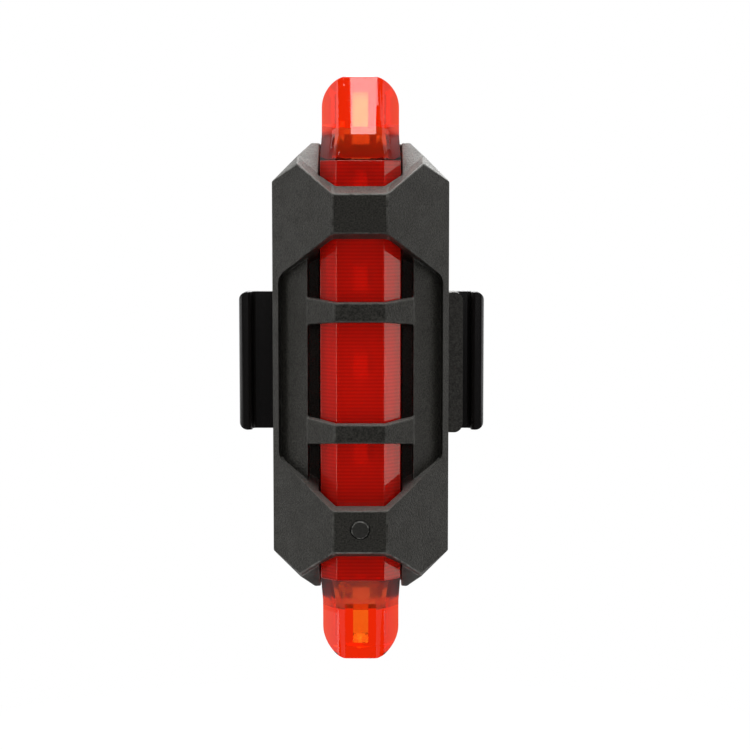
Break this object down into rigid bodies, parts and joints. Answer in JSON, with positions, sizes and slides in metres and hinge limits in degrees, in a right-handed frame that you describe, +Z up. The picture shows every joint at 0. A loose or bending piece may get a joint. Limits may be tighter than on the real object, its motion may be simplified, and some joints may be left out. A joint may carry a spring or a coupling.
{
  "type": "bicycle tail light",
  "caption": "Rechargeable bicycle tail light: a clear red ribbed lens in a faceted black cage, with a push button, a hooked strap bracket and a seatpost saddle.",
  "frame": {"origin": "deepest point of the concave saddle that seats on the seatpost, at its mid height", "axes": "+Y from the lens back towards the seatpost, +Z up along the light, +X to the right seen from the front"},
  "size_m": [0.0326, 0.0304, 0.073],
  "materials": {
    "shell_plastic": "fine spark-eroded texture",
    "cover_plastic": "fine spark-eroded texture",
    "lens_red": "clear red, ribbed inside",
    "end_block_red": "clear red, polished",
    "seal_rubber": "smooth",
    "board_mask": "white solder mask",
    "lamp_resin": "pale resin",
    "switch_plastic": "moulded",
    "plunger_plastic": "moulded",
    "button_plastic": "fine texture",
    "cell_foil": "laminate foil",
    "tape_film": "double-sided tape",
    "foam_grey": "closed-cell foam",
    "lead_red": "wire sleeve",
    "lead_black": "wire sleeve",
    "chip_ceramic": "fired ceramic",
    "ic_resin": "moulded resin",
    "socket_steel": "plated steel",
    "insulator_plastic": "moulded",
    "contact_brass": "gold plated",
    "flap_silicone": "soft silicone",
    "bracket_gloss": "polished",
    "screw_steel": "zinc plated",
    "saddle_rubber": "moulded, ribbed"
  },
  "bodies": {
    "case": {"front_shell": "shell_plastic", "rear_cover": "cover_plastic", "lens": "lens_red", "end_cap_top": "end_block_red", "end_cap_bottom": "end_block_red", "lens_gaskets": "seal_rubber", "led_board": "board_mask", "face_leds": "lamp_resin", "end_leds": "lamp_resin", "switch_body": "switch_plastic", "button_seal": "seal_rubber", "battery": "cell_foil", "battery_tape": "tape_film", "battery_foam": "foam_grey", "battery_lead_red": "lead_red", "battery_lead_black": "lead_black", "board_chips": "chip_ceramic", "controller_ic": "ic_resin", "usb_shell": "socket_steel", "usb_insulator": "insulator_plastic", "usb_contacts": "contact_brass", "flap_anchor": "flap_silicone", "mount_bracket": "bracket_gloss", "bracket_screws": "screw_steel", "shell_screws": "screw_steel", "saddle_pad": "saddle_rubber"},
    "button": {"mode_button": "button_plastic"},
    "plunger": {"switch_plunger": "plunger_plastic"},
    "flap": {"port_flap": "flap_silicone"}
  },
  "joints": [
    {"name": "button_press", "type": "slide", "parent": "case", "child": "button", "axis": [0, 1, 0], "range_m": [0, 0.00035], "stiffness_N_per_m": 3000},
    {"name": "plunger_press", "type": "slide", "parent": "case", "child": "plunger", "axis": [0, 1, 0], "range_m": [0, 0.00035]},
    {"name": "flap_hinge", "type": "hinge", "parent": "case", "child": "flap", "pos_m": [0, -0.0065, -0.0216], "axis": [-1, 0, 0], "range_deg": [0, 110], "stiffness_Nm_per_rad": 0.0002}
  ],
  "couplings": [
    {"joint": "plunger_press", "follows": "button_press", "ratio": 1}
  ]
}
